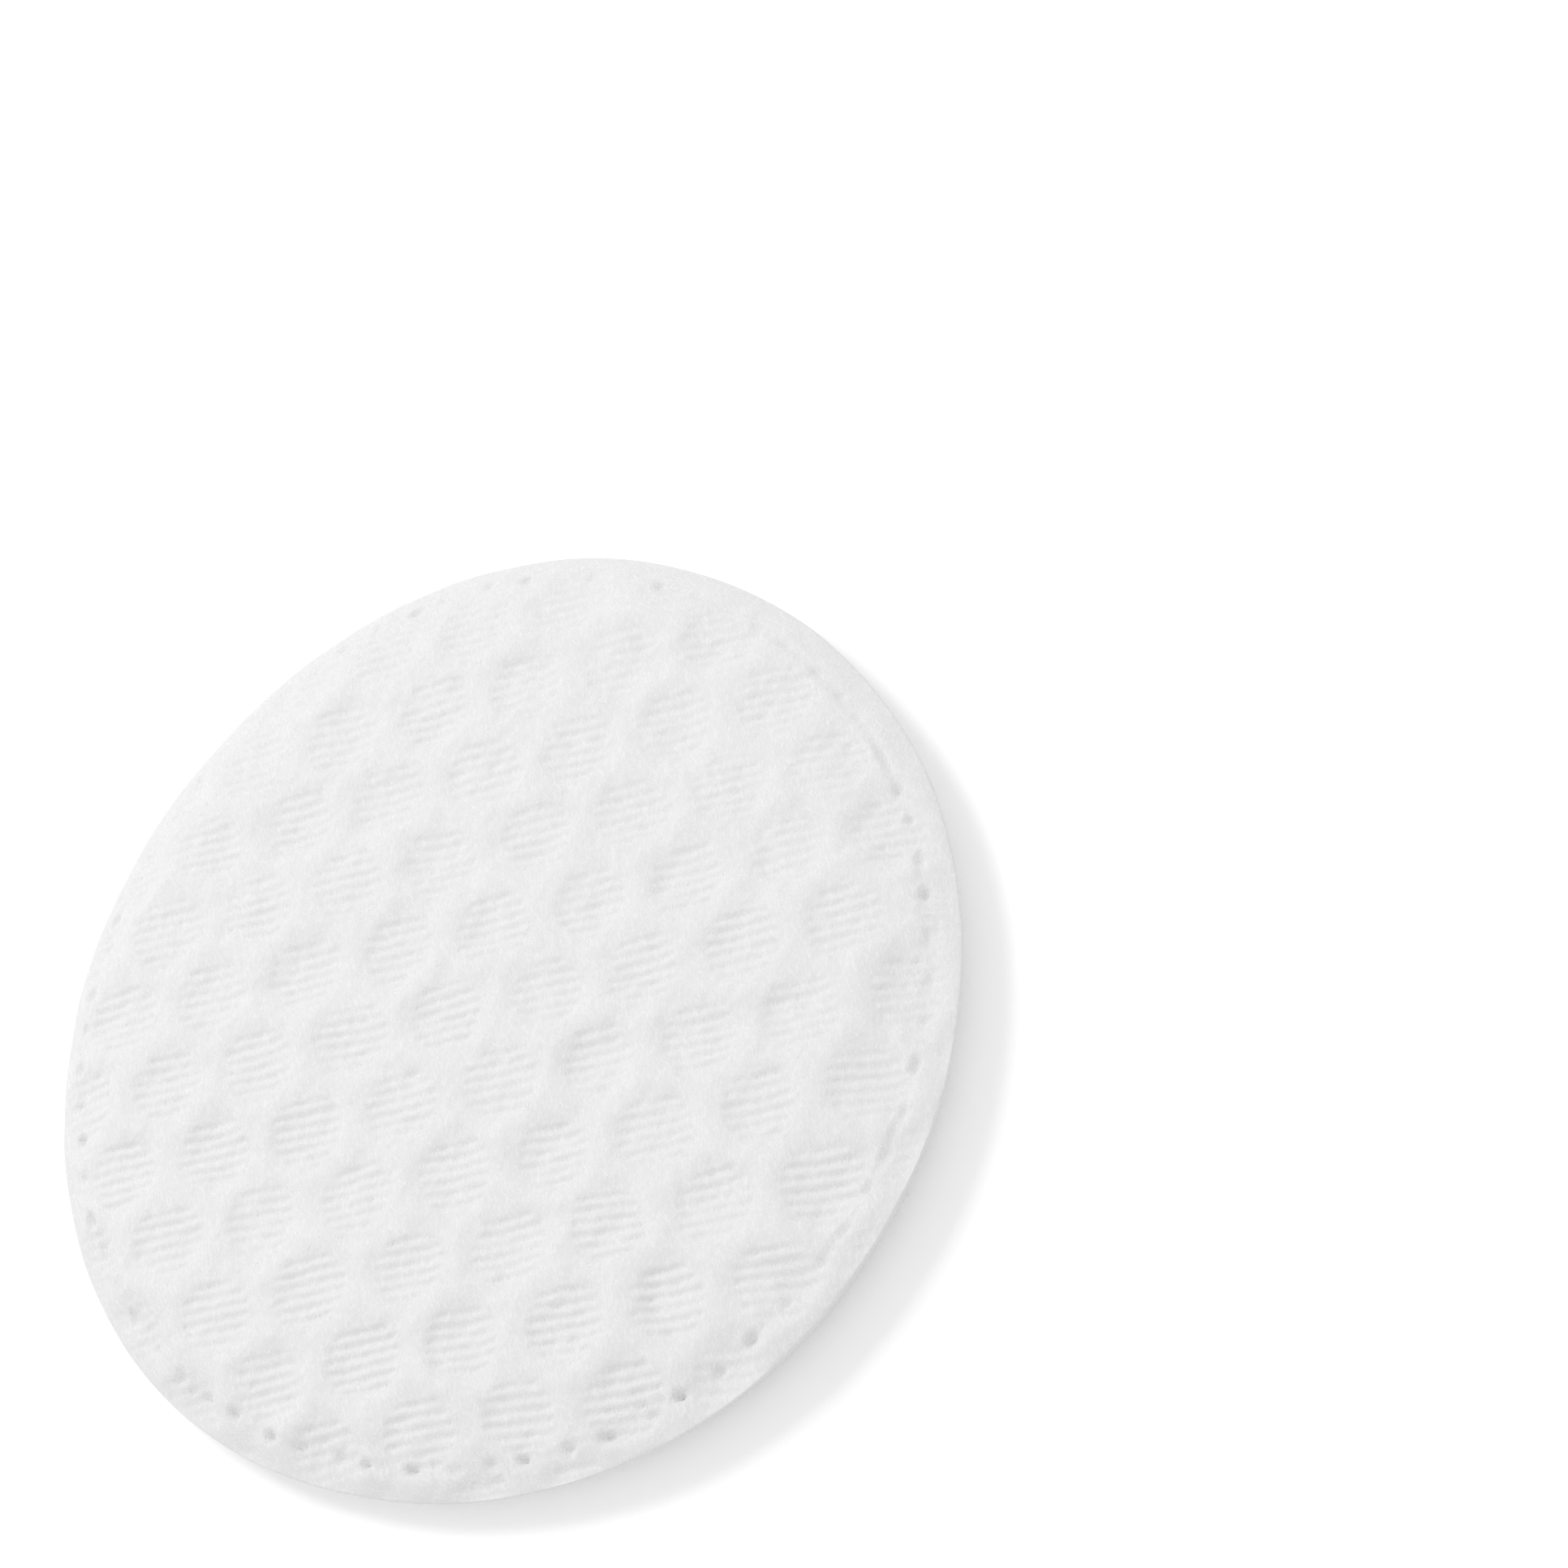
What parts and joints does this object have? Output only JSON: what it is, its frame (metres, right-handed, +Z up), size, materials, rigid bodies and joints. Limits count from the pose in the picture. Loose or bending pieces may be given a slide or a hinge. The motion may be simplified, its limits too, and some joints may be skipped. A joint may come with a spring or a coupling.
{
  "type": "cotton pad",
  "caption": "Round, flat pad of soft cotton for the face, embossed with rows of grooved patches on its upper side, with a crimped rim.",
  "frame": {"origin": "on the surface that the pad lies on, under the middle of the pad", "axes": "+Z up, out of the embossed face; +X along the grooves and the rows of embossed patches; +Y across them"},
  "size_m": [0.057, 0.057, 0.0044],
  "materials": {
    "cotton": "matt, soft and slightly fuzzy bleached cotton"
  },
  "bodies": {
    "root": {"cotton_pad": "cotton"}
  },
  "joints": []
}
